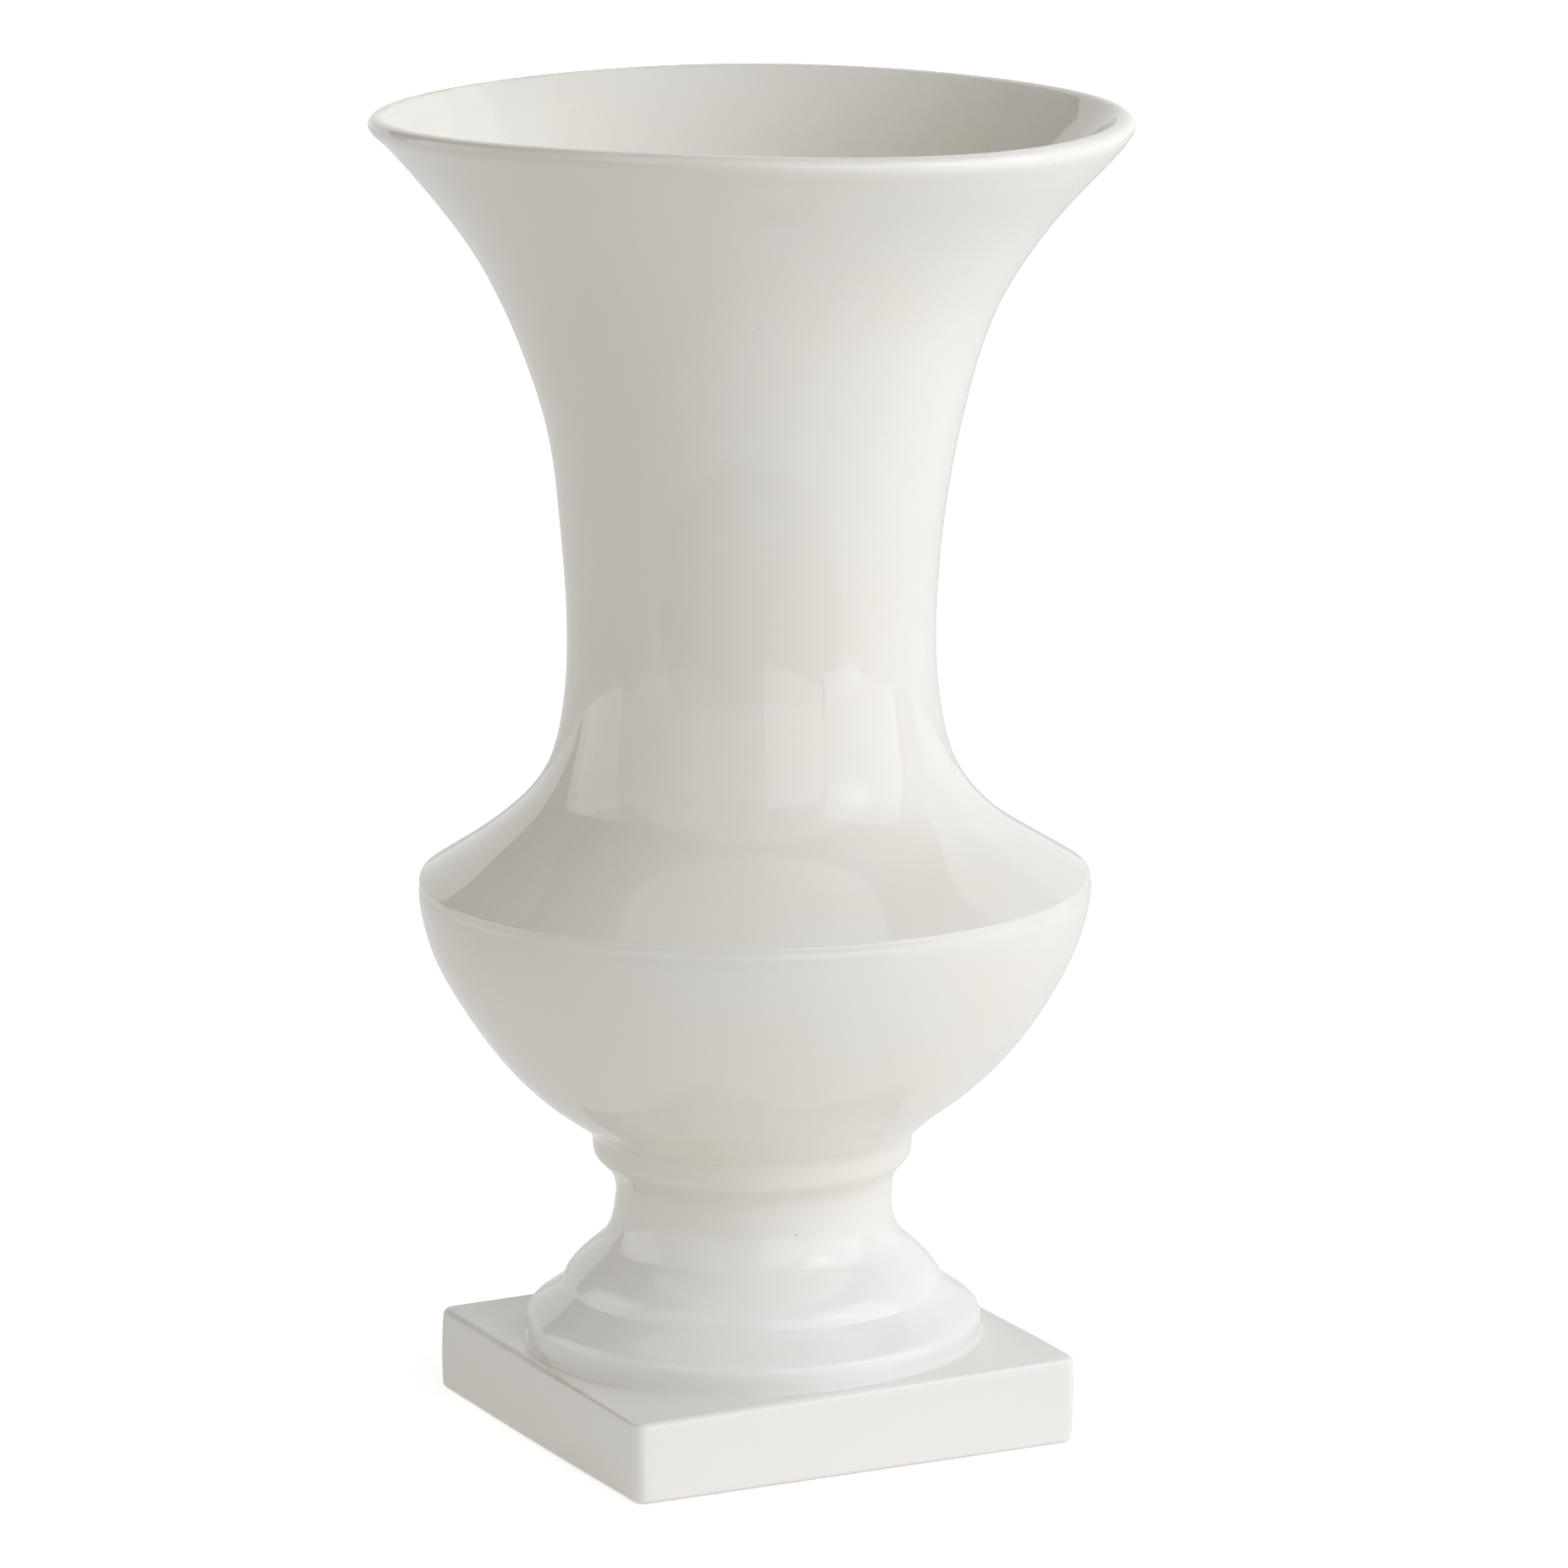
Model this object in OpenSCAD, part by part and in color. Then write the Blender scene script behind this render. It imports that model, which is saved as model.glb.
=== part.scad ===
// Footed vase in glazed ceramic: four hollow clay sections, luted together with
// slip at stepped joints, on a square plinth. Upright along +Z, with the origin
// at the centre of the plinth's underside and the plinth's sides along X and Y.

/* [Mouth and neck] */
// Outer diameter across the rounded lip
mouth_d = 188; // [165:1:215]
// Height from the narrowest part of the neck to the top of the lip
flare_h = 133.8; // [105:0.2:165]
// Slope of the flared wall where it meets the lip, from the horizontal
lip_angle = 54; // [44:1:64]
// Outer diameter of the neck at its narrowest
neck_d = 91.8; // [80:0.2:104]
// Height from the shoulder ridge up to the narrowest part of the neck
shoulder_h = 57.8; // [48:0.2:72]
// Slope of the shoulder where it meets its ridge, from the horizontal
shoulder_angle = 32; // [24:1:38]
// Thickness of the clay in the neck and the bowl
wall = 5.5; // [4:0.1:7]

/* [Bowl] */
// Outer diameter at the shoulder ridge
ridge_d = 167; // [148:1:186]
// Height of the plain band just under the shoulder ridge
ridge_band_h = 1.2; // [0.6:0.1:2.4]
// Height from the collar up to the shoulder ridge
bowl_h = 64.8; // [54:0.2:80]
// Step in from the collar bead to the bowl, each side
bowl_foot_step = 0.5; // [0.2:0.1:2]
// Slope of the bowl where it meets the collar, from the horizontal
bowl_foot_angle = 30; // [22:1:38]
// Depth of the tongue that locates the neck in the bowl
tongue_h = 4.5; // [3:0.1:7]

/* [Pedestal] */
// Outer diameter of the stem at its narrowest
stem_d = 69.3; // [60:0.1:80]
// Step out from the narrowest stem to the collar bead, each side
collar_step = 5.55; // [3:0.05:8]
// Height from the widest part of the collar bead up to the bowl
bead_h = 4.3; // [3:0.1:6]
// Height from the narrowest part of the stem up to the widest part of the bead
collar_h = 12.2; // [10:0.1:15]
// Height from the upper moulding to the narrowest part of the stem
stem_h = 12.6; // [9:0.1:18]
// Step out from the narrowest stem to the top of the upper moulding, each side
stem_foot_step = 3.85; // [2.5:0.05:6]
// Height of the upper moulding
ovolo_h = 11; // [8:0.1:14]
// Step out over the upper moulding, each side
ovolo_step = 9.05; // [6:0.05:12]
// Height of the lower moulding above the plinth
torus_h = 14; // [12:0.1:18]
// Height of the lower moulding's widest part above the plinth
torus_rise = 4.3; // [3:0.1:6]
// Step out from the upper moulding to the lower one, each side
torus_step = 9.65; // [7.5:0.05:13]
// Width of the small fillet where the lower moulding meets the plinth
fillet_w = 1.2; // [0.6:0.1:1.5]
// Thickness of the clay in the stem and the mouldings
pedestal_wall = 6.4; // [5:0.1:8]
// Depth of the spigot under the bowl that drops into the collar
spigot_h = 6; // [4:0.1:9]
// Width of the collar's outer land, outside that spigot
collar_land = 5.4; // [4:0.1:7]
// Thickness of the spigot's wall
spigot_wall = 6; // [4:0.1:8]

/* [Plinth] */
// Width of the plinth's ledge past the lower moulding, at the middle of a side
plinth_ledge = 2.9; // [1.6:0.1:12]
// Height of the plinth
plinth_h = 21.2; // [16:0.2:32]
// Radius of the plinth's upright corners
plinth_corner_r = 3; // [2:0.1:8]
// Radius of the plinth's upper and lower edges
plinth_edge_r = 1.4; // [0.6:0.1:2.4]
// Width of the flat rim that the plinth stands on
plinth_rim = 8; // [6:0.1:12]
// Thickness of the plinth's top
plinth_deck = 7; // [5:0.1:9]
// Radius of the corners inside the plinth's recess
recess_corner_r = 6; // [3:0.1:12]
// Diameter of the vent hole through the plinth's top
vent_d = 12; // [6:0.5:24]
// Height of the ring on the plinth that locates the pedestal
locating_ring_h = 4; // [3:0.1:6]
// Thickness of that ring
locating_ring_t = 4; // [3:0.1:7]

/* [Joints] */
// Thickness of the fired slip in the joints
slip_t = 0.6; // [0.4:0.1:1]

/* [Hidden] */
$fn = 96;

glaze_colour = [0.93, 0.92, 0.90];
slip_colour = [0.80, 0.72, 0.62];

// Straight pieces that stand in for one curve, and for a quarter of a small round
curve_steps = 20;
round_steps = 6;
// Extra length that lets a cut run clear of the face that it opens
overrun = 1;

// Share of the wall's thickness that the outer land of the shoulder joint takes
land_share = 0.5;
// Lengths of the curves' handles, as shares of the sizes named beside them:
// of the flare's height at its top and at the neck
flare_shares = [0.20, 0.68];
// of the shoulder's width at the ridge, and of its height at the neck
shoulder_shares = [0.77, 0.64];
// of the bowl's overhang at the collar, and of its height at the rim, with the
// outward swell there as a share of the overhang
bowl_shares = [0.86, 0.154, 0.052];
// of the bead's height, up from its widest part
bead_share = 0.5;
// of the collar's height, at the bead and at the stem
collar_shares = [0.34, 0.67];
// of the stem's height at its narrowest and at the upper moulding
stem_shares = [0.53, 0.24];
// of the upper moulding's height at its top and at its lower edge
ovolo_shares = [0.26, 0.325];
// of the lower moulding's height above its widest part, at its top and there
torus_shares = [0.90, 0.44];
// of the hollow's height and of the upper moulding's height, inside the stem
hollow_shares = [0.5, 0.4];

// Slope of the outline where the stem turns into the upper moulding, and at the
// top of the lower moulding
stem_foot_angle = 47;
torus_angle = 43;

mouth_r = mouth_d / 2;
neck_r = neck_d / 2;
ridge_r = ridge_d / 2;
stem_r = stem_d / 2;
collar_r = stem_r + collar_step;
bowl_foot_r = collar_r - bowl_foot_step;
stem_foot_r = stem_r + stem_foot_step;
ovolo_r = stem_foot_r + ovolo_step;
torus_r = ovolo_r + torus_step;
plinth_w = 2 * (torus_r + plinth_ledge);

// Levels, from the table up
torus_z = plinth_h + torus_rise;
ovolo_z = plinth_h + torus_h;
stem_foot_z = ovolo_z + ovolo_h;
stem_z = stem_foot_z + stem_h;
bead_z = stem_z + collar_h;
collar_z = bead_z + bead_h;
ridge_z = collar_z + bowl_h;
rim_z = ridge_z - ridge_band_h;
neck_z = ridge_z + shoulder_h;
lip_z = neck_z + flare_h;

// The lip is a half round on the end of the wall
lip_r = wall / 2;
lip_centre = [mouth_r - lip_r, lip_z - lip_r];
flare_end = lip_centre + lip_r * [sin(lip_angle), -cos(lip_angle)];

// Shoulder joint: an outer land, and a tongue inside it
bowl_bore_r = ridge_r - wall;
land_r = ridge_r - wall * land_share;
tongue_r = land_r - slip_t;
tongue_z = rim_z - tongue_h;
rebate_z = tongue_z - slip_t;

// Collar joint: the spigot under the bowl, in the collar's socket
socket_r = bowl_foot_r - collar_land;
spigot_r = socket_r - slip_t;
spigot_bore_r = spigot_r - spigot_wall;
spigot_z = collar_z - spigot_h;
socket_z = spigot_z - slip_t;
stem_bore_r = min(stem_r - pedestal_wall, spigot_bore_r);

// Foot joint: the ring on the plinth, in the pedestal's foot
foot_bore_r = torus_r - pedestal_wall;
foot_r = torus_r + fillet_w;
foot_land_r = (foot_bore_r + foot_r) / 2;
ring_r = foot_bore_r - slip_t;
ring_z = plinth_h + locating_ring_h;

// A cubic curve with four control points, at share t of its way
function curve_point(c, t) =
    pow(1 - t, 3) * c[0] + 3 * pow(1 - t, 2) * t * c[1]
    + 3 * (1 - t) * t * t * c[2] + pow(t, 3) * c[3];

// The direction of that curve
function curve_heading(c, t) =
    let (d = pow(1 - t, 2) * (c[1] - c[0]) + 2 * (1 - t) * t * (c[2] - c[1])
             + t * t * (c[3] - c[2]))
    d / norm(d);

// The points of a curve without its first one, which ends the piece before it
function curve_points(c) =
    [for (i = [1 : curve_steps]) curve_point(c, i / curve_steps)];

// The points of a curve moved inwards by t, for an outline that climbs
function inner_points(c, t) =
    [for (i = [0 : curve_steps])
        let (h = curve_heading(c, i / curve_steps))
        curve_point(c, i / curve_steps) + t * [-h[1], h[0]]];

// The points of a list in the opposite order
function backwards(p) = [for (i = [len(p) - 1 : -1 : 0]) p[i]];

// Outlines of the four sections, each one climbing
flare_curve = [
    [neck_r, neck_z],
    [neck_r, neck_z + flare_shares[1] * flare_h],
    flare_end - flare_shares[0] * flare_h * [cos(lip_angle), sin(lip_angle)],
    flare_end];

shoulder_curve = [
    [ridge_r, ridge_z],
    [ridge_r, ridge_z] + shoulder_shares[0] * (ridge_r - neck_r)
        * [-cos(shoulder_angle), sin(shoulder_angle)],
    [neck_r, neck_z - shoulder_shares[1] * shoulder_h],
    [neck_r, neck_z]];

bowl_curve = [
    [bowl_foot_r, collar_z],
    [bowl_foot_r, collar_z] + bowl_shares[0] * (ridge_r - bowl_foot_r)
        * [cos(bowl_foot_angle), sin(bowl_foot_angle)],
    [ridge_r + bowl_shares[2] * (ridge_r - bowl_foot_r), rim_z - bowl_shares[1] * bowl_h],
    [ridge_r, rim_z]];

bead_curve = [
    [collar_r, bead_z],
    [collar_r, bead_z + bead_share * bead_h],
    [bowl_foot_r, collar_z - slip_t],
    [bowl_foot_r, collar_z]];

collar_curve = [
    [stem_r, stem_z],
    [stem_r, stem_z + collar_shares[1] * collar_h],
    [collar_r, bead_z - collar_shares[0] * collar_h],
    [collar_r, bead_z]];

stem_curve = [
    [stem_foot_r, stem_foot_z],
    [stem_foot_r, stem_foot_z] + stem_shares[1] * stem_h
        * [-cos(stem_foot_angle), sin(stem_foot_angle)],
    [stem_r, stem_z - stem_shares[0] * stem_h],
    [stem_r, stem_z]];

ovolo_curve = [
    [ovolo_r, ovolo_z],
    [ovolo_r, ovolo_z + ovolo_shares[1] * ovolo_h],
    [stem_foot_r, stem_foot_z] + ovolo_shares[0] * ovolo_h
        * [cos(stem_foot_angle), -sin(stem_foot_angle)],
    [stem_foot_r, stem_foot_z]];

torus_curve = [
    [torus_r, torus_z],
    [torus_r, torus_z + torus_shares[1] * (torus_h - torus_rise)],
    [ovolo_r, ovolo_z] + torus_shares[0] * (torus_h - torus_rise)
        * [cos(torus_angle), -sin(torus_angle)],
    [ovolo_r, ovolo_z]];

// The pedestal's hollow: down the stem, over the upper moulding, to the foot
stem_hollow_curve = [
    [stem_bore_r, stem_z],
    [stem_bore_r, stem_z - hollow_shares[0] * stem_h],
    [ovolo_r - pedestal_wall, ovolo_z + hollow_shares[1] * ovolo_h],
    [ovolo_r - pedestal_wall, ovolo_z]];

foot_hollow_curve = [
    [ovolo_r - pedestal_wall, ovolo_z],
    [foot_bore_r - hollow_shares[1] * pedestal_wall, ovolo_z - pedestal_wall],
    [foot_bore_r, ovolo_z - pedestal_wall],
    [foot_bore_r, torus_z]];

// The lip's half round, from the outside of the wall over to the inside
function lip_points() =
    [for (i = [1 : 2 * round_steps - 1])
        let (a = lip_angle - 90 + 180 * i / (2 * round_steps))
        lip_centre + lip_r * [cos(a), sin(a)]];

// An L-shaped ring of slip: a flat leg, and an upright leg that starts at upright_r
module slip_lap(inner_r, outer_r, upright_r, low_z, high_z) {
    color(slip_colour)
    rotate_extrude() {
        translate([inner_r, low_z])
            square([outer_r - inner_r, slip_t]);
        translate([upright_r, low_z])
            square([slip_t, high_z - low_z]);
    }
}

// A square with rounded corners, centred
module rounded_square(side, r) {
    square([side, side - 2 * r], center = true);
    square([side - 2 * r, side], center = true);
    for (x = [-1, 1])
        for (y = [-1, 1])
            translate([x * (side / 2 - r), y * (side / 2 - r)])
                circle(r = r);
}

// The upright outline of the plinth's block, with its rounded edges
module plinth_side_outline() {
    half = plinth_w / 2;
    r = plinth_edge_r;
    polygon(concat(
        [for (i = [0 : round_steps]) let (a = -90 * i / round_steps)
            [half - r + r * cos(a), r + r * sin(a)]],
        [for (i = [0 : round_steps]) let (a = -90 - 90 * i / round_steps)
            [r - half + r * cos(a), r + r * sin(a)]],
        [for (i = [0 : round_steps]) let (a = 180 - 90 * i / round_steps)
            [r - half + r * cos(a), plinth_h - r + r * sin(a)]],
        [for (i = [0 : round_steps]) let (a = 90 - 90 * i / round_steps)
            [half - r + r * cos(a), plinth_h - r + r * sin(a)]]));
}

// The flared mouth, the neck and the shoulder, with the tongue under it
module neck_section() {
    color(glaze_colour)
    rotate_extrude()
        polygon(concat(
            [[tongue_r, rim_z], [ridge_r, rim_z], [ridge_r, ridge_z]],
            curve_points(shoulder_curve),
            curve_points(flare_curve),
            lip_points(),
            backwards(inner_points(flare_curve, wall)),
            [for (p = backwards(inner_points(shoulder_curve, wall)))
                if (p[1] < neck_z) [min(p[0], bowl_bore_r), p[1]]],
            [[bowl_bore_r, tongue_z], [tongue_r, tongue_z]]));
}

module shoulder_slip_seam() {
    slip_lap(bowl_bore_r, land_r, tongue_r, rebate_z, rim_z);
}

// The bowl that holds the water, with a rebate in its rim and a spigot beneath
module bowl_section() {
    inside = [for (p = inner_points(bowl_curve, wall))
        if (p[1] < rebate_z) [min(p[0], bowl_bore_r), p[1]]];
    color(glaze_colour)
    rotate_extrude()
        polygon(concat(
            [[0, inside[0][1] - wall],
             [spigot_bore_r, inside[0][1] - wall],
             [spigot_bore_r, spigot_z],
             [spigot_r, spigot_z],
             [spigot_r, collar_z],
             [bowl_foot_r, collar_z]],
            curve_points(bowl_curve),
            [[land_r, rim_z], [land_r, rebate_z], [bowl_bore_r, rebate_z]],
            backwards(inside),
            [[0, inside[0][1]]]));
}

module collar_slip_seam() {
    slip_lap(stem_bore_r, socket_r, spigot_r, socket_z, collar_z);
}

// The collar bead, the waisted stem and the two mouldings of the foot, hollow
module pedestal() {
    color(glaze_colour)
    rotate_extrude()
        polygon(concat(
            [[foot_land_r, plinth_h],
             [foot_r, plinth_h],
             [torus_r, plinth_h + fillet_w],
             [torus_r, torus_z]],
            curve_points(torus_curve),
            curve_points(ovolo_curve),
            curve_points(stem_curve),
            curve_points(collar_curve),
            curve_points(bead_curve),
            [[socket_r, collar_z],
             [socket_r, socket_z],
             [stem_bore_r, socket_z],
             [stem_bore_r, stem_z]],
            curve_points(stem_hollow_curve),
            curve_points(foot_hollow_curve),
            [[foot_bore_r, plinth_h + slip_t],
             [foot_land_r, plinth_h + slip_t]]));
}

module plinth_slip_seam() {
    slip_lap(ring_r, foot_land_r, ring_r, plinth_h, ring_z);
}

// The square plinth, open underneath, with the ring that locates the pedestal
module plinth() {
    color(glaze_colour)
    difference() {
        union() {
            intersection() {
                linear_extrude(height = plinth_h)
                    rounded_square(plinth_w, plinth_corner_r);
                rotate([90, 0, 0])
                    linear_extrude(height = plinth_w, center = true)
                        plinth_side_outline();
                rotate([90, 0, 90])
                    linear_extrude(height = plinth_w, center = true)
                        plinth_side_outline();
            }
            translate([0, 0, plinth_h - plinth_deck])
                cylinder(r = ring_r, h = plinth_deck + locating_ring_h);
        }
        translate([0, 0, -overrun])
            linear_extrude(height = plinth_h - plinth_deck + overrun)
                rounded_square(plinth_w - 2 * plinth_rim, recess_corner_r);
        translate([0, 0, plinth_h])
            cylinder(r = ring_r - locating_ring_t, h = locating_ring_h + overrun);
        cylinder(d = vent_d, h = plinth_h + overrun);
    }
}

neck_section();
shoulder_slip_seam();
bowl_section();
collar_slip_seam();
pedestal();
plinth_slip_seam();
plinth();
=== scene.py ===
from math import atan2, cos, pi, radians, sin, tan

import bpy
import numpy as np
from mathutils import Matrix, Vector


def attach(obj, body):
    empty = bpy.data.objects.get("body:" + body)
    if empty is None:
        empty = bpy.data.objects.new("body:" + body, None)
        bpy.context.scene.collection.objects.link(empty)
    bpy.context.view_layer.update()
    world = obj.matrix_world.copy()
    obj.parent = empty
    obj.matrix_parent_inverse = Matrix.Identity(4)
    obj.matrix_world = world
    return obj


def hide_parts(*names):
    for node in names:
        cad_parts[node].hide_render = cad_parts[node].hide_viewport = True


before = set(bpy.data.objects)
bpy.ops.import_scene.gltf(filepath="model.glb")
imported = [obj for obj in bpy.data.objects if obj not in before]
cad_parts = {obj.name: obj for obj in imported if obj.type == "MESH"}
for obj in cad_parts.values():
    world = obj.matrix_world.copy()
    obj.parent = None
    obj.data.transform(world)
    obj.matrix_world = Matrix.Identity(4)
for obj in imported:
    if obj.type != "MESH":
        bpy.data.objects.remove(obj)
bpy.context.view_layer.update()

# Lengths are millimetres in the making of the shapes, and metres in Blender.
MM = 0.001

# The camera, in the photograph's own directions: right is image right, away is
# into the picture, and the turn takes these to the part's +X and +Y.
TURN = radians(26.75)
CAMERA_RIGHT = 7.645
CAMERA_BACK = 1807.93
CAMERA_UP = 546.53
CAMERA_PITCH = radians(11.99)
CAMERA_ROLL = radians(-0.0145)
SENSOR = 36.0
IMAGE_SIDE = 1852
FOCAL_PX = 8788.38

# Sizes that the pieces share with the solids.
WALL = 5.5
SLIP = 0.6
RIDGE_R = 83.5
RIM_Z = 138.9
RIDGE_Z = 140.15
BORE_R = 78.0
TONGUE_R = 80.15
TONGUE_Z = 134.4
COLLAR_Z = 75.3
SOCKET_R = 34.3
SOCKET_Z = 68.7
SPIGOT_R = 33.7
SPIGOT_BORE_R = 27.7
SPIGOT_Z = 69.3
FOOT_BORE_R = 50.8
FOOT_LAND_R = 54.6
RING_R = 50.2
RING_BORE_R = 46.2
RING_Z = 25.2
PLINTH_HALF = 60.1
PLINTH_Z = 21.2
DECK_Z = 14.2
RECESS_HALF = 52.1
VENT_R = 6.0
NECK_R = 45.9
NECK_Z = 197.9
TORUS_R = 57.2
TORUS_Z = 25.5

STEPS_ROUND = 288


def photo_side(right, away):
    """A direction given in the photograph's right and away, in the part's X and Y."""
    return np.array([
        right * cos(TURN) + away * sin(TURN),
        -right * sin(TURN) + away * cos(TURN)])


# The outlines

def heading(angle):
    """The unit vector at an angle in degrees, from the radius towards +Z."""
    return np.array([cos(radians(angle)), sin(radians(angle))])


def cubic(p0, p1, p2, p3, t):
    """The points of a cubic curve at shares t of its way."""
    return ((1 - t) ** 3 * p0 + 3 * (1 - t) ** 2 * t * p1
            + 3 * (1 - t) * t * t * p2 + t ** 3 * p3)


def curve(p0, p1, p2, p3, count, start=0.0):
    """Points of a cubic curve, the first one left out unless start is above 0."""
    p0, p1, p2, p3 = (np.array(p, float) for p in (p0, p1, p2, p3))
    shares = np.linspace(start, 1.0, count + 1)
    shares = shares if start > 0 else shares[1:]
    return [tuple(p) for p in cubic(p0, p1, p2, p3, shares[:, None])]


def inner_curve(p0, p1, p2, p3, count, wall):
    """The curve moved inwards by the wall, in the order of the curve."""
    p0, p1, p2, p3 = (np.array(p, float) for p in (p0, p1, p2, p3))
    t = np.linspace(0.0, 1.0, count + 1)[:, None]
    run = ((1 - t) ** 2 * (p1 - p0) + 2 * (1 - t) * t * (p2 - p1)
           + t * t * (p3 - p2))
    run /= np.linalg.norm(run, axis=1, keepdims=True)
    moved = cubic(p0, p1, p2, p3, t) + wall * np.stack([-run[:, 1], run[:, 0]], 1)
    return [tuple(p) for p in moved]


def arc(centre, radius, start, end, count):
    """Points of an arc, both ends kept, with its angles in degrees."""
    return [tuple(np.array(centre) + radius * heading(a))
            for a in np.linspace(start, end, count + 1)]


def corner(before, at, after, radius, count=5):
    """The arc that rounds a corner of an outline."""
    at = np.array(at, float)
    a = np.array(before, float) - at
    b = np.array(after, float) - at
    a /= np.linalg.norm(a)
    b /= np.linalg.norm(b)
    half = 0.5 * np.arccos(np.clip(np.dot(a, b), -1, 1))
    reach = radius / tan(half)
    middle = (a + b) / np.linalg.norm(a + b)
    centre = at + middle * radius / sin(half)
    start = at + a * reach - centre
    end = at + b * reach - centre
    first = atan2(start[1], start[0])
    turn = atan2(end[1], end[0]) - first
    turn = (turn + pi) % (2 * pi) - pi
    return [tuple(centre + radius * np.array([cos(first + turn * i / count),
                                              sin(first + turn * i / count)]))
            for i in range(count + 1)]


# The four points of each cubic curve of the outside, each curve climbing. A slope is in
# degrees from the radius, and a pull is how far a curve's inner point lies from its end.
STEP = 0.05
LIP_SLOPE = 49.8
LIP_R = WALL / 2
FLARE_PULL = 25.87
FLARE_RISE = 87.66
FLARE_END = np.array([92.85, 325.475])
FLARE = ((NECK_R, NECK_Z), (NECK_R, NECK_Z + FLARE_RISE),
         tuple(FLARE_END - FLARE_PULL * heading(LIP_SLOPE)), tuple(FLARE_END))
LIP_CENTRE = FLARE_END - LIP_R * heading(LIP_SLOPE - 90)
SHOULDER_SLOPE = 32.1
SHOULDER_PULL = 29.0
SHOULDER_RISE = 36.89
SHOULDER = ((RIDGE_R, RIDGE_Z),
            (RIDGE_R - SHOULDER_PULL * cos(radians(SHOULDER_SLOPE)),
             RIDGE_Z + SHOULDER_PULL * sin(radians(SHOULDER_SLOPE))),
            (NECK_R, NECK_Z - SHOULDER_RISE), (NECK_R, NECK_Z))
BOWL_SLOPE = 30.1
BOWL_PULL = 37.75
BOWL_START = np.array([39.52, 75.3])
BOWL_FOOT = np.array([43.3, 77.48])
BOWL_BULGE = 2.29
BOWL_DROP = 9.79
BOWL = (tuple(BOWL_START), tuple(BOWL_START + BOWL_PULL * heading(BOWL_SLOPE)),
        (RIDGE_R + BOWL_BULGE, RIM_Z - BOWL_DROP), (RIDGE_R, RIM_Z + STEP))
COLLAR_JOINT = (40.94, COLLAR_Z)
BEAD = (40.1, 72.8)
BEAD_PULL = 1.75
FILLET_PULL = 2.3
STEM_R = 34.66
STEM_Z = 58.8
STEM_DROP = 6.69
STEM_PULL = 3.03
STEM_SLOPE = 133.1
STEM_FOOT = np.array([38.5, 46.23])
STEM_HEAD = ((34.66, 67.0), (39.99, 66.52), (39.99, 70.69))
BEAD_RISE = ((39.99, 71.3), (40.1, 72.1))
OVOLO_FOOT = np.array([47.57, 35.21])
OVOLO_RISE = 3.58
OVOLO_PULL = 2.88
OVOLO_SLOPE = -46.9
TORUS_RISE = 4.25
TORUS_PULL = 8.77
TORUS_SLOPE = -43.6
TORUS_DROP = 1.3
FILLET_OUT = 0.8
FILLET_UP = 0.9
FILLET_BEND = 0.35
FILLET_GAP = 0.01

# The inside of the neck section, the bowl and the stem, which the photograph hides.
CREASE_R = 1.0
COLLAR_GAP = 0.02
BOWL_GAP = 0.3
BORE_GAP = 0.1
SHOULDER_INSIDE_R = 71.5
NECK_SEAT = ((75.9, 138.6), (BORE_R, 137.9), (BORE_R, 136.2))
JOINT_STEP = 0.4
BOWL_TOP_Z = 137.0
BOWL_SHOULDER = ((0.03, 137.9), (RIDGE_R, 138.0))
BOWL_INSIDE_R = 50.0
BOWL_FLOOR_Z = 80.06
BOWL_UNDER_Z = 74.56
BOWL_FLOOR = ((42.6, 83.4), (37.5, 80.1), (29.0, BOWL_FLOOR_Z))
CONE_R = 41.15
CONE_Z = 35.2
CONE_LOW_Z = 39.6
CONE_TOP_Z = 52.5
DOME_R = 48.24
FOOT_ROOF_Z = 28.8


def neck_outline():
    lip_start = LIP_SLOPE - 90
    outside = [(RIDGE_R, RIM_Z), (RIDGE_R, RIM_Z + STEP)]
    outside += corner((RIDGE_R, RIM_Z), (RIDGE_R, RIDGE_Z), SHOULDER[1], CREASE_R, 6)
    outside += curve(*SHOULDER, 44, start=0.012)
    outside += curve(*FLARE, 60)
    outside += arc(LIP_CENTRE, LIP_R, lip_start, lip_start + 180, 14)[1:]
    inside = inner_curve(*FLARE, 44, WALL)[::-1][1:]
    shoulder = inner_curve(*SHOULDER, 36, WALL)[::-1][1:]
    inside += [p for p in shoulder if p[0] < SHOULDER_INSIDE_R]
    inside += curve(inside[-1], *NECK_SEAT, 6)
    inside += [(BORE_R, TONGUE_Z + JOINT_STEP)]
    joint = [(BORE_R, TONGUE_Z), (TONGUE_R, TONGUE_Z), (TONGUE_R, RIM_Z)]
    return outside + inside + joint


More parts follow.
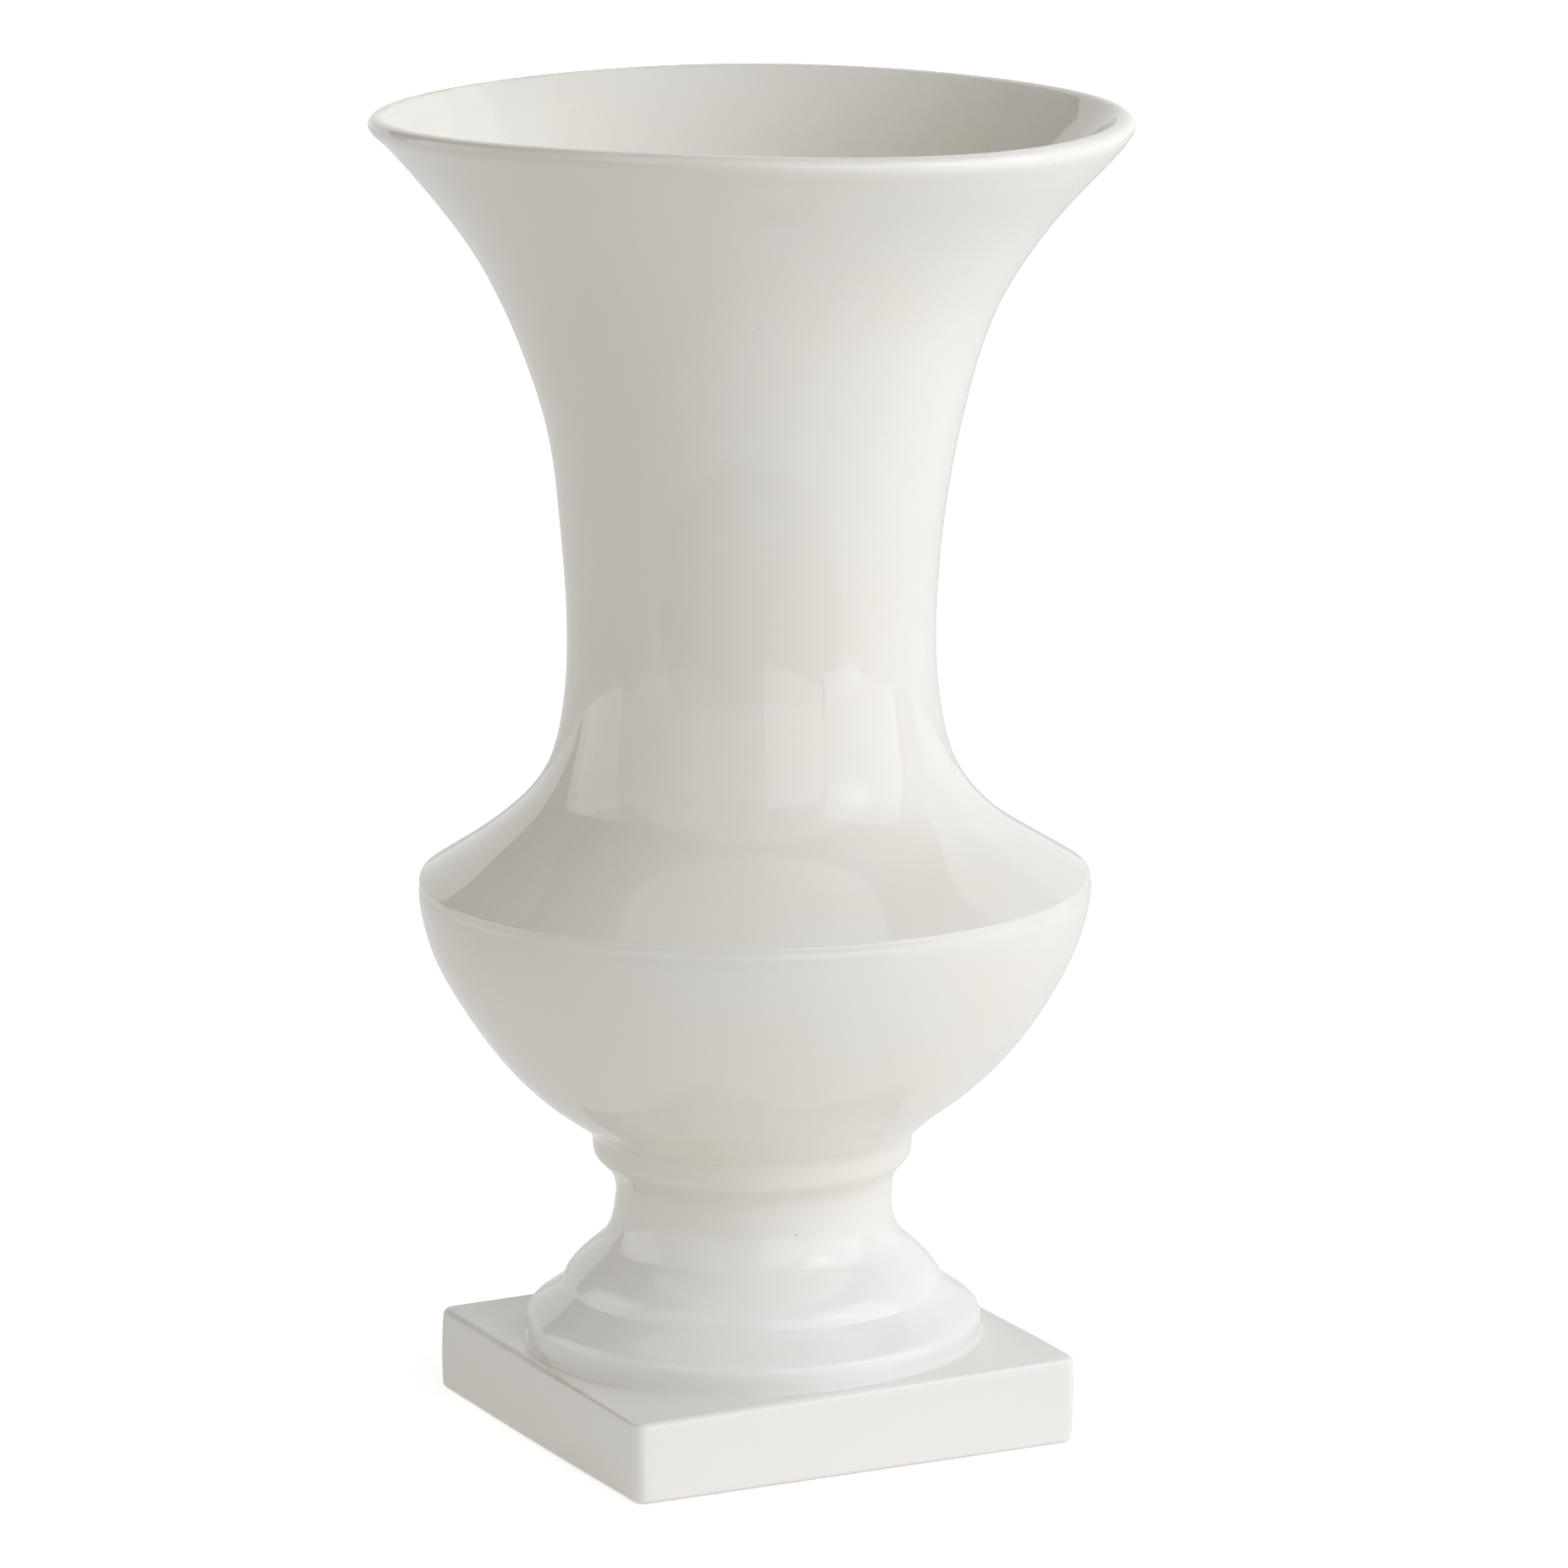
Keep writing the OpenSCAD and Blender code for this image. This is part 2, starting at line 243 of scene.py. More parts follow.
def bowl_outline():
    outside = [COLLAR_JOINT]
    outside += [p for p in collar_fillet() if p[1] > COLLAR_Z + COLLAR_GAP]
    outside += [p for p in curve(*BOWL, 60) if BOWL_FOOT[1] + BOWL_GAP < p[1] < BOWL_TOP_Z]
    top = outside[-1]
    (wider, low_z), shoulder = BOWL_SHOULDER
    outside += curve(top, (top[0] + wider, low_z), shoulder, (RIDGE_R, RIM_Z - STEP), 5)
    outside += [(RIDGE_R, RIM_Z)]
    land_r = TONGUE_R + SLIP
    rebate_z = TONGUE_Z - SLIP
    joint = [(land_r, RIM_Z), (land_r, rebate_z), (BORE_R, rebate_z),
             (BORE_R, rebate_z - JOINT_STEP)]
    inside = [p for p in inner_curve(*BOWL, 44, WALL)[::-1]
              if BOWL_INSIDE_R < p[0] < BORE_R - BORE_GAP]
    inside += curve(inside[-1], *BOWL_FLOOR, 8)
    inside += [(r, BOWL_FLOOR_Z) for r in (18.0, 8.0, 0.0)]
    under = [(r, BOWL_UNDER_Z) for r in (0.0, 14.0, SPIGOT_BORE_R)]
    under += [(SPIGOT_BORE_R, SPIGOT_Z), (SPIGOT_R, SPIGOT_Z), (SPIGOT_R, COLLAR_Z)]
    return outside + joint + inside + under


def collar_fillet():
    """The hollow of glaze between the bead and the bowl, climbing."""
    start = np.array(BEAD)
    end = BOWL_FOOT
    slope = heading(BOWL_SLOPE)
    return [tuple(start)] + curve(
        start, start + (0.0, BEAD_PULL), end - FILLET_PULL * slope, end, 16)


def foot_curves():
    """The outside from the plinth's top to the stem's foot: glaze fillet, torus, ovolo."""
    fillet = curve((TORUS_R + FILLET_OUT, PLINTH_Z),
                   (TORUS_R + FILLET_BEND, PLINTH_Z + FILLET_GAP),
                   (TORUS_R + FILLET_GAP, PLINTH_Z + FILLET_BEND),
                   (TORUS_R, PLINTH_Z + FILLET_UP), 8)
    torus = curve((TORUS_R, TORUS_Z), (TORUS_R, TORUS_Z + TORUS_RISE),
                  OVOLO_FOOT + TORUS_PULL * heading(TORUS_SLOPE), OVOLO_FOOT, 30)
    ovolo = curve(OVOLO_FOOT, OVOLO_FOOT + (0.0, OVOLO_RISE),
                  STEM_FOOT + OVOLO_PULL * heading(OVOLO_SLOPE), STEM_FOOT, 24)
    crease = corner(torus[-4], OVOLO_FOOT, ovolo[2], CREASE_R, 6)
    return ([(TORUS_R + FILLET_OUT, PLINTH_Z)] + fillet
            + [(TORUS_R, TORUS_Z - TORUS_DROP), (TORUS_R, TORUS_Z)]
            + torus[:-3] + crease + ovolo[2:])


def pedestal_outline():
    outside = foot_curves()
    outside += curve(STEM_FOOT, STEM_FOOT + STEM_PULL * heading(STEM_SLOPE),
                     (STEM_R, STEM_Z - STEM_DROP), (STEM_R, STEM_Z), 18)
    outside += curve((STEM_R, STEM_Z), *STEM_HEAD, 26)
    outside += curve(STEM_HEAD[-1], *BEAD_RISE, BEAD, 3)
    outside += [p for p in collar_fillet() if BEAD[1] < p[1] < COLLAR_Z - COLLAR_GAP]
    outside += [COLLAR_JOINT]
    hollow = [(SOCKET_R, COLLAR_Z), (SOCKET_R, SOCKET_Z), (SPIGOT_BORE_R, SOCKET_Z),
              (SPIGOT_BORE_R, STEM_Z)]
    hollow += curve((SPIGOT_BORE_R, STEM_Z), (SPIGOT_BORE_R, CONE_TOP_Z), (CONE_R, CONE_LOW_Z),
                    (CONE_R, CONE_Z), 12)
    hollow += curve((CONE_R, CONE_Z), (DOME_R, FOOT_ROOF_Z), (FOOT_BORE_R, FOOT_ROOF_Z),
                    (FOOT_BORE_R, TORUS_Z), 10)
    hollow += [(FOOT_BORE_R, PLINTH_Z + SLIP), (FOOT_LAND_R, PLINTH_Z + SLIP),
               (FOOT_LAND_R, PLINTH_Z)]
    return outside + hollow


def seam_outline(inner_r, outer_r, upright_r, low_z, high_z):
    """The L of a slip seam: a flat leg, and an upright leg that starts at upright_r."""
    made = [(inner_r, low_z), (outer_r, low_z)]
    if outer_r > upright_r + SLIP:
        made += [(outer_r, low_z + SLIP), (upright_r + SLIP, low_z + SLIP)]
    made += [(upright_r + SLIP, high_z), (upright_r, high_z)]
    if upright_r > inner_r:
        made += [(upright_r, low_z + SLIP), (inner_r, low_z + SLIP)]
    return made


# What a hand-made piece has beyond its ideal form

# How far the sections wander off the axis, to the photograph's right, by height.
WANDER = (
    (0, 0.00), (34, 0.00), (40, -0.20), (45, 0.02), (51, -0.07), (56, 0.04), (60, 0.26),
    (65, 0.02), (70, -0.18), (76, -0.25), (82, -1.01), (88, -0.66), (95, -0.26),
    (103, 0.03), (112, 0.02), (122, 0.02), (132, 0.32), (138, 0.45), (141, 0.38),
    (145, 0.27), (150, -0.05), (154, -0.23), (158, -0.10), (162, -0.06), (172, -0.12),
    (185, -0.21), (200, -0.20), (215, -0.20), (230, -0.14), (240, 0.14), (248, 0.27),
    (255, 0.26), (262, 0.09), (270, -0.21), (278, -0.41), (286, -0.44), (294, -0.14),
    (301, 0.05),
    (305, 0.13), (309, 0.32), (313, 0.52), (317, 0.77), (321, 0.86), (324, 0.66),
    (326.5, 0.10), (328.5, -0.19), (335, -0.19))

# How much wider the wall is than the outline, by height.
SWELL = (
    (0, 0.0), (26, 0.0), (30, 0.30), (36, 0.25), (41, 0.15), (50, 0.0), (55, 0.09),
    (62, 0.0), (73, 0.05), (77, 0.18), (81, -0.23), (86, 0.0), (90, 0.09), (98, 0.0),
    (109, -0.10), (117, 0.05), (121, 0.13), (128, 0.0),
    (138, 0.05), (144, 0.10), (150, 0.05), (158, 0.12), (163, 0.0), (168, -0.14),
    (174, 0.0), (182, 0.14), (193, 0.0), (206, -0.15), (220, 0.0), (235, 0.09),
    (245, 0.0), (270, 0.0), (278, -0.15), (285, -0.22), (300, -0.22), (306, -0.27),
    (311, -0.38), (315, -0.45), (319, -0.55), (323, -0.65), (326, -0.45), (328.5, 0.0),
    (335, 0.0))

# The shoulder's ridge leans, rising towards the photograph's right.
RIDGE_LEAN = 0.0042
LEAN_START = 130.0
LEAN_FULL = 138.0
LEAN_DROP = 145.0
LEAN_END = 162.0

# The lip's waves in height and in radius: the cosine and sine shares of the turns from
# once to four times round, after the mean, in millimetres.
LIP_RISE = (0.325, (-0.277, 0.473), (-0.651, 0.528), (0.305, -0.067), (0.132, -0.017))
LIP_SPREAD = (0.070, (0.024, 0.045), (0.103, 0.105), (-0.107, -0.019))
LIP_WAVE_Z = 285.0
LIP_FULL_Z = 327.0
LIP_CALM = 0.7

# The cast wall's soft unevenness in millimetres of radius: how much, how many times
# round, how far it turns in a millimetre of height, and where it starts.
RIPPLES = ((0.050, 3, 0.021, 0.4), (0.045, 5, -0.034, 2.1), (0.030, 2, 0.090, 1.3),
           (0.022, 9, 0.055, 4.0), (0.018, 7, -0.110, 5.2), (0.012, 14, 0.080, 0.9))
BODY_GAP = 1.0
BODY_FADE = 6.0
STILL_R = 20.0


def smooth_step(x):
    x = np.clip(x, 0.0, 1.0)
    return x * x * (3 - 2 * x)


def smooth_line(table, at):
    """A smooth line through a table's points, with no steps in its slope."""
    where = np.array([row[0] for row in table], float)
    value = np.array([row[1] for row in table], float)
    slope = np.gradient(value, where)
    i = np.clip(np.searchsorted(where, at) - 1, 0, len(where) - 2)
    span = where[i + 1] - where[i]
    t = np.clip((at - where[i]) / span, 0.0, 1.0)
    return (value[i] * (1 + 2 * t) * (1 - t) ** 2
            + slope[i] * span * t * (1 - t) ** 2
            + value[i + 1] * t * t * (3 - 2 * t)
            + slope[i + 1] * span * t * t * (t - 1))


def ripple(angle, z):
    return sum(amount * np.sin(turns * angle + twist * z + start)
               for amount, turns, twist, start in RIPPLES)


def wave(table, angle):
    """The sum of a table's turns at an angle in the photograph's directions."""
    made = np.full_like(angle, table[0])
    for turns, (level, cross) in enumerate(table[1:], 1):
        made = made + level * np.cos(turns * angle) + cross * np.sin(turns * angle)
    return made


# Where firing has left the plinth's corners, by the signs of X and Y: how far the top's
# and the bottom's lie to the photograph's right, away and up, in millimetres.
CORNER_SHIFTS = {
    (-1, -1): ((-1.24, 0.54, -0.48), (-0.94, 1.53, 0.32)),
    (1, -1): ((0.02, 1.20, 1.15), (-0.25, 1.31, 0.02)),
    (-1, 1): ((0.61, -1.37, -0.57), (0.36, -2.32, 0.0)),
    (1, 1): ((0.76, -0.79, 0.15), (0.68, -1.23, 0.0))}

# How far the middles of the plinth's sides bow out, and their tops up.
SIDE_BOWS = ((0, -1, 0.54, 0.57), (1, -1, 0.08, 0.0), (0, 1, 0.42, 0.88), (1, 1, 0.10, 0.38))
SETTLE_FADE = 7.0


def settle(points):
    """Moves the plinth and the foot on it from a true square block to the fired one."""
    u = points[:, 0] / PLINTH_HALF
    v = points[:, 1] / PLINTH_HALF
    level = np.clip(points[:, 2] / PLINTH_Z, 0.0, 1.0)
    moved = np.zeros_like(points)
    for (sx, sy), shifts in CORNER_SHIFTS.items():
        share = (1 + sx * u) * (1 + sy * v) / 4
        for (right, away, up), part in zip(shifts, (level, 1 - level)):
            x, y = photo_side(right, away)
            moved += (share * part)[:, None] * np.array([x, y, up])
    fade = 1 - smooth_step((points[:, 2] - PLINTH_Z) / SETTLE_FADE)
    return points + moved * fade[:, None]


def as_made(points):
    """Moves ideal points to where a hand-finished vase has them."""
    x, y, z = points[:, 0], points[:, 1], points[:, 2]
    r = np.hypot(x, y)
    angle = np.arctan2(y, x)
    body = smooth_step((z - PLINTH_Z - BODY_GAP) / BODY_FADE)
    lip = smooth_step((z - LIP_WAVE_Z) / (LIP_FULL_Z - LIP_WAVE_Z))
    off_axis = np.clip(r / STILL_R, 0, 1)
    lean = smooth_step((z - LEAN_START) / (LEAN_FULL - LEAN_START))
    lean *= 1 - smooth_step((z - LEAN_DROP) / (LEAN_END - LEAN_DROP))
    spread = ripple(angle, z) * body * off_axis * (1 - LIP_CALM * lip)
    spread += smooth_line(SWELL, z) * off_axis
    r_new = r + spread + wave(LIP_SPREAD, angle + TURN) * lip
    z_new = z + wave(LIP_RISE, angle + TURN) * lip
    z_new += RIDGE_LEAN * r * np.cos(angle + TURN) * lean
    side = photo_side(1.0, 0.0)
    shift = smooth_line(WANDER, z)
    return settle(np.stack([r_new * np.cos(angle) + side[0] * shift,
                            r_new * np.sin(angle) + side[1] * shift, z_new], 1))


# The meshes

SHARP_ANGLE = radians(50)
ON_AXIS = 1e-6


def placed(name, data):
    """A new object of the scene that shows a mesh, a light or a camera."""
    made = bpy.data.objects.new(name, data)
    bpy.context.scene.collection.objects.link(made)
    return made


def mesh_object(name, points, faces, marks, material):
    """A piece from points in millimetres, with its shading smooth but at real edges."""
    mesh = bpy.data.meshes.new(name)
    mesh.from_pydata([tuple(p * MM) for p in points], [], faces)
    mesh.validate()
    # Each point's tan mark, thin glaze and painted shade alike, is kept for the glaze.
    layer = mesh.attributes.new("glaze_break_and_shade", "FLOAT", "POINT")
    layer.data.foreach_set("value", np.asarray(marks, np.float32))
    mesh.polygons.foreach_set("use_smooth", [True] * len(mesh.polygons))
    mesh.set_sharp_from_angle(angle=SHARP_ANGLE)
    mesh.materials.append(material)
    mesh.update()
    return placed(name, mesh)


def ring_faces(rings, steps):
    """Quads between rings of points, the last ring joined to the first, and triangles
    round a point on the axis."""
    faces = []
    starts = []
    at = 0
    for size in rings:
        starts.append((at, size))
        at += size
    for (a, size_a), (b, size_b) in zip(starts, starts[1:] + starts[:1]):
        if size_a == 1 and size_b == 1:
            continue
        for i in range(steps):
            j = (i + 1) % steps
            if size_a == 1:
                faces.append((a, b + j, b + i))
            elif size_b == 1:
                faces.append((a + i, a + j, b))
            else:
                faces.append((a + i, a + j, b + j, b + i))
    return faces


# The camera's left, where the lip's top gets a line of painted shade: by the cosine away from
# its right.
LEFT_START = 0.35
LEFT_FADE = 0.3


def thin_glaze_and_shade_marks(r, z, turns, breaks_and_shade):
    """How strongly the tan of thin glaze, and the painted shade on the lip's left, lie at one
    ring of a piece of revolution.
    """
    mark = np.zeros(len(turns))
    for mark_r, mark_z, width, amount, only_left in breaks_and_shade:
        near = np.exp(-((r - mark_r) ** 2 + (z - mark_z) ** 2) / width ** 2)
        # On the left only, the lip's mark is painted shade, tinted tan.
        left = smooth_step((-np.cos(turns + TURN) - LEFT_START) / LEFT_FADE)
        mark += amount * near * (left if only_left else 1.0)
    return mark


def ring(reach, turns, z):
    return np.stack([reach * np.cos(turns), reach * np.sin(turns), np.full(len(turns), z)], 1)


def lathe(name, outline, material, breaks_and_shade=(), shape=None):
    """A closed piece of revolution whose outline runs round its section."""
    turns = np.arange(STEPS_ROUND) * 2 * pi / STEPS_ROUND
    points = []
    sizes = []
    marks = []
    for r, z in outline:
        mark = thin_glaze_and_shade_marks(r, z, turns, breaks_and_shade)
        if r < ON_AXIS:
            points.append([[0.0, 0.0, z]])
            sizes.append(1)
            marks.append(mark[:1])
            continue
        points.append(ring(r, turns, z))
        sizes.append(STEPS_ROUND)
        marks.append(mark)
    points = np.concatenate([np.asarray(p, float) for p in points])
    marks = np.concatenate([np.asarray(m, float) for m in marks])
    if shape:
        points = shape(points)
    points = as_made(points)
    faces = ring_faces(sizes, STEPS_ROUND)
    return mesh_object(name, points, faces, marks, material)


FILLET_TOP = PLINTH_Z + 2.0
FILLET_WIDEN = 0.6


def foot_fillet(points):
    """Widens the glaze fillet round the foot towards the plinth's corners."""
    z = points[:, 2]
    r = np.hypot(points[:, 0], points[:, 1])
    angle = np.arctan2(points[:, 1], points[:, 0])
    past = (r > TORUS_R) & (z < FILLET_TOP)
    wide = 1.0 + FILLET_WIDEN * np.sin(2 * angle) ** 2
    r_new = np.where(past, TORUS_R + (r - TORUS_R) * wide, r)
    low = (z < FILLET_TOP) & (r > TORUS_R - FILLET_GAP)
    z_new = np.where(low, PLINTH_Z + (z - PLINTH_Z) * np.sqrt(wide), z)
    return np.stack([r_new * np.cos(angle), r_new * np.sin(angle), z_new], 1)


# The plinth, as rings round its section: the rounding of its edges and corners, the
# heights on its sides, and half widths with corner radii on its top.
LOW_EDGE_R = 1.3
TOP_EDGE_R = 1.6
CORNER_R = 3.0
RECESS_CORNER_R = 6.0
RIM_RINGS = ((RECESS_HALF, RECESS_CORNER_R), (RECESS_HALF + 3.0, 5.0),
             (PLINTH_HALF - LOW_EDGE_R - 1.0, CORNER_R))
SIDE_LEVELS = (2.6, 5.0, 8.0, 11.0, 14.0, 16.5, 18.4)
TOP_STEPS = (0.3, 0.8)
TOP_CORNER_GROWTH = 3.0
TOP_RINGS = ((57.0, 12.0), (56.0, 24.0), (55.0, 38.0), (54.0, 48.0),
             (FOOT_LAND_R - 1.0, FOOT_LAND_R - 1.0), (RING_R, RING_R))
VENT_LAND_R = 26.0
VENT_LAND_CORNER_R = 22.0
RECESS_ROOF = ((1.5, 5.0, 0.0), (0.4, 5.7, 0.4), (0.0, RECESS_CORNER_R, 1.5))
RECESS_LOW_Z = 4.0

# The plinth's belly in millimetres, and the shares of its half width from where that
# and the sides' bows count. Its top is uneven beyond a radius.
BELLY = 0.30
BELLY_SHARE = 0.93
BOW_SHARE = 0.9
UNEVEN_START = 60.0
UNEVEN_FADE = 24.0
UNEVEN_CROSSED = 0.07
UNEVEN_SLANTED = 0.04

# Where the plinth is tan: along its top edges, most of all on the camera's left, and just above
# the rim that it stands on, where the glaze ends.
EDGE_TAN_SIDE = 3.0
EDGE_TAN_LEAST = 0.25
EDGE_TAN_MOST = 0.85
EDGE_TAN_Y = -17.0
EDGE_TAN_REACH = 18.0
EDGE_TAN_ELSEWHERE = 0.08
TOP_LINE_DROP = 0.35
TOP_LINE_REACH = 0.5
LOW_LINE = 2.0
LOW_LINE_REACH = 0.35
BARE_Z = 0.01


def square_reach(angle, half, corner_r):
    """How far a square with rounded corners reaches at an angle."""
    a = np.abs((angle + pi / 4) % (pi / 2) - pi / 4)
    flat = half / np.cos(a)
    inner = half - corner_r
    along = inner * (np.cos(a) + np.sin(a))
    round_part = along + np.sqrt(np.maximum(along ** 2 - 2 * inner ** 2 + corner_r ** 2, 0))
    limit = np.arctan2(inner, half)
    return np.where(a > limit, round_part, flat)


def plinth_turns():
    """Angles round the plinth, closer together at its corners."""
    quarter = np.concatenate([
        np.arange(-45.0, -40.0, 0.25), np.arange(-40.0, -30.0, 1.0),
        np.arange(-30.0, 30.0, 1.5), np.arange(30.0, 40.0, 1.0),
        np.arange(40.0, 45.0, 0.25)])
    return np.radians(np.concatenate([quarter + 90 * i for i in range(4)]))


def plinth_rings():
    """(half width, corner radius, height) round the plinth's section, from the rim's
    inner edge out, up, over the top and back down through the hollow."""
    h, top, low_r, top_r = PLINTH_HALF, PLINTH_Z, LOW_EDGE_R, TOP_EDGE_R
    made = [(half, corner_r, 0.0) for half, corner_r in RIM_RINGS]
    made += [(h - low_r + low_r * sin(a), CORNER_R - low_r * (1 - sin(a)),
              low_r - low_r * cos(a)) for a in np.linspace(0, pi / 2, 7)]
    made += [(h, CORNER_R, z) for z in SIDE_LEVELS]
    made += [(h - top_r + top_r * cos(a), CORNER_R - top_r * (1 - cos(a)),
              top - top_r + top_r * sin(a)) for a in np.linspace(0, pi / 2, 9)]
    made += [(h - top_r - step, CORNER_R + step * TOP_CORNER_GROWTH, top) for step in TOP_STEPS]
    made += [(half, corner_r, top) for half, corner_r in TOP_RINGS]
    made += [(RING_R, RING_R, RING_Z), (RING_BORE_R, RING_BORE_R, RING_Z),
             (RING_BORE_R, RING_BORE_R, top), (VENT_LAND_R, VENT_LAND_R, top)]
    made += [(VENT_R, VENT_R, top), (VENT_R, VENT_R, DECK_Z),
             (VENT_LAND_R, VENT_LAND_CORNER_R, DECK_Z)]
    made += [(RECESS_HALF - inwards, corner_r, DECK_Z - down)
             for inwards, corner_r, down in RECESS_ROOF]
    made += [(RECESS_HALF, RECESS_CORNER_R, RECESS_LOW_Z)]
    return made


def uneven_top(x, y):
    """Two soft waves over the plinth's top, in millimetres."""
    crossed = np.sin(0.055 * x + 1.0) * np.sin(0.07 * y + 0.3)
    slanted = np.sin(0.13 * x - 0.09 * y + 2.0)
    return UNEVEN_CROSSED * crossed + UNEVEN_SLANTED * slanted


def soften_plinth(points):
    """Gives the plinth its belly, its bowed sides and its uneven top."""
    place = points.copy()
    level = np.clip(place[:, 2] / PLINTH_Z, 0, 1)
    belly = BELLY * 4 * level * (1 - level)
    for axis in (0, 1):
        share = place[:, axis] / PLINTH_HALF
        place[:, axis] += belly * np.sign(share) * (np.abs(share) > BELLY_SHARE)
    for axis, side, out, up in SIDE_BOWS:
        near = np.clip((place[:, axis] * side / PLINTH_HALF - BOW_SHARE) / (1 - BOW_SHARE),
                       0, 1)
        hump = np.clip(1 - (place[:, 1 - axis] / PLINTH_HALF) ** 2, 0, 1)
        place[:, axis] += side * out * hump * near
        place[:, 2] += up * hump * near * level
    x, y = place[:, 0], place[:, 1]
    reach = smooth_step((np.hypot(x, y) - UNEVEN_START) / UNEVEN_FADE)
    place[:, 2] += uneven_top(x, y) * reach * level
    return settle(place)


def plinth_marks(x, y, z, outer):
    """How tan the plinth is at one ring."""
    near = EDGE_TAN_LEAST + EDGE_TAN_MOST * np.exp(-((y - EDGE_TAN_Y) / EDGE_TAN_REACH) ** 2)
    edge_tan = np.where(x < EDGE_TAN_SIDE - PLINTH_HALF, near, EDGE_TAN_ELSEWHERE)
    top_line = edge_tan * np.exp(-((z - PLINTH_Z + TOP_LINE_DROP) / TOP_LINE_REACH) ** 2)
    low_line = LOW_LINE * np.exp(-(z / LOW_LINE_REACH) ** 2)
    return outer * (top_line + low_line) + (LOW_LINE if z < BARE_Z else 0.0)


def plinth_piece(name, material):
    turns = plinth_turns()
    points = []
    marks = []
    for half, corner_r, z in plinth_rings():
        reach = square_reach(turns, half, min(corner_r, half))
        points.append(ring(reach, turns, z))
        outer = 1.0 if half > PLINTH_HALF - TOP_EDGE_R else 0.0
        marks.append(plinth_marks(points[-1][:, 0], points[-1][:, 1], z, outer))
    sizes = [len(turns)] * len(points)
    points = soften_plinth(np.concatenate(points))
    faces = ring_faces(sizes, len(turns))
    return mesh_object(name, points, faces, np.concatenate(marks), material)


# The materials

def new_material(name):
    made = bpy.data.materials.new(name)
    made.use_nodes = True
    tree = made.node_tree
    tree.nodes.clear()
    return made, tree


def add(tree, kind, **settings):
    node = tree.nodes.new(kind)
    for key, value in settings.items():
        setattr(node, key, value)
    return node


def noise(tree, place, scale, detail=2.0, rough=0.5):
    node = add(tree, "ShaderNodeTexNoise")
    node.inputs["Scale"].default_value = scale
    node.inputs["Detail"].default_value = detail
    node.inputs["Roughness"].default_value = rough
    tree.links.new(place.outputs["Object"], node.inputs["Vector"])
    return node.outputs["Fac"]


def remap(tree, value, low, high, to_low, to_high):
    node = add(tree, "ShaderNodeMapRange")
    node.clamp = True
    for key, number in zip(("From Min", "From Max", "To Min", "To Max"),
                           (low, high, to_low, to_high)):
        node.inputs[key].default_value = number
    tree.links.new(value, node.inputs["Value"])
    return node.outputs["Result"]


def maths(tree, operation, first, second):
    node = add(tree, "ShaderNodeMath", operation=operation)
    for socket, value in zip(node.inputs, (first, second)):
        if isinstance(value, (int, float)):
            socket.default_value = value
        else:
            tree.links.new(value, socket)
    return node.outputs[0]


def roughen(tree, shader, height, size):
    """Gives a shader a fine bump from a height, its size a distance and a strength."""
    bump = add(tree, "ShaderNodeBump")
    bump.inputs["Distance"].default_value, bump.inputs["Strength"].default_value = size
    tree.links.new(height, bump.inputs["Height"])
    tree.links.new(bump.outputs["Normal"], shader.inputs["Normal"])


def joined(tree, kind, *sources):
    """A node that adds or mixes, with its inputs linked in their own order."""
    node = add(tree, kind)
    for socket, source in zip(node.inputs, sources):
        tree.links.new(source, socket)
    return node


def end_tree(tree, shader, kind="ShaderNodeOutputMaterial"):
    out = add(tree, kind)
    tree.links.new(shader.outputs[0], out.inputs["Surface"])


def glow(tree, kind, colour, level):
    """An emission or background of a colour, its level a number or another node's."""
    node = add(tree, kind)
    node.inputs["Color"].default_value = (*colour, 1.0)
    if isinstance(level, (int, float)):
        node.inputs["Strength"].default_value = level
    else:
        tree.links.new(level, node.inputs["Strength"])
    return node


def mix_colour(tree, share, first, second):
    node = add(tree, "ShaderNodeMix", data_type="RGBA")
    tree.links.new(share, node.inputs["Factor"])
    for socket, value in ((node.inputs[6], first), (node.inputs[7], second)):
        if isinstance(value, tuple):
            socket.default_value = (*value, 1.0)
        else:
            tree.links.new(value, socket)
    return node.outputs[2]


# The colours of the glaze and the slip, linear.
GLAZE_WARM = (0.800, 0.757, 0.670)
GLAZE_COOL = (0.810, 0.778, 0.705)
GLAZE_FOOT = (0.822, 0.806, 0.765)
GLAZE_PLINTH = (0.812, 0.786, 0.728)
# The tan is the colour of thin glaze, and also of the painted shade along the lip's left.
GLAZE_THIN_AND_SHADE = (0.560, 0.470, 0.350)
SPECK = (0.300, 0.245, 0.190)
SLIP_LIGHT = (0.640, 0.545, 0.430)
SLIP_DARK = (0.520, 0.425, 0.320)

# Heights in metres where the foot's and the plinth's whiter, cooler colours start and are full.
FOOT_WHITE_TOP = 0.068
FOOT_WHITE_FULL = 0.040
PLINTH_WHITE_TOP = 0.024
PLINTH_WHITE_FULL = 0.019

# Each noise's turns in a metre, detail and, where it isn't the usual one, roughness. The
# spans are the parts of a noise's range that a look makes full use of.
TONE_NOISE = (14.0, 3.0)
BREAK_NOISE = (120.0, 4.0, 0.6)
GLOSS_NOISE = (60.0, 3.0)
DIMPLE_NOISE = (110.0, 2.0)
SLIP_TONE_NOISE = (400.0, 5.0, 0.6)
SLIP_GRAIN_NOISE = (900.0, 4.0)
TONE_SPAN = (0.35, 0.65)
NOISE_SPAN = (0.3, 0.7)
BREAK_LEAST = 0.25
THIN_AND_SHADE_SPAN = (0.1, 1.2)

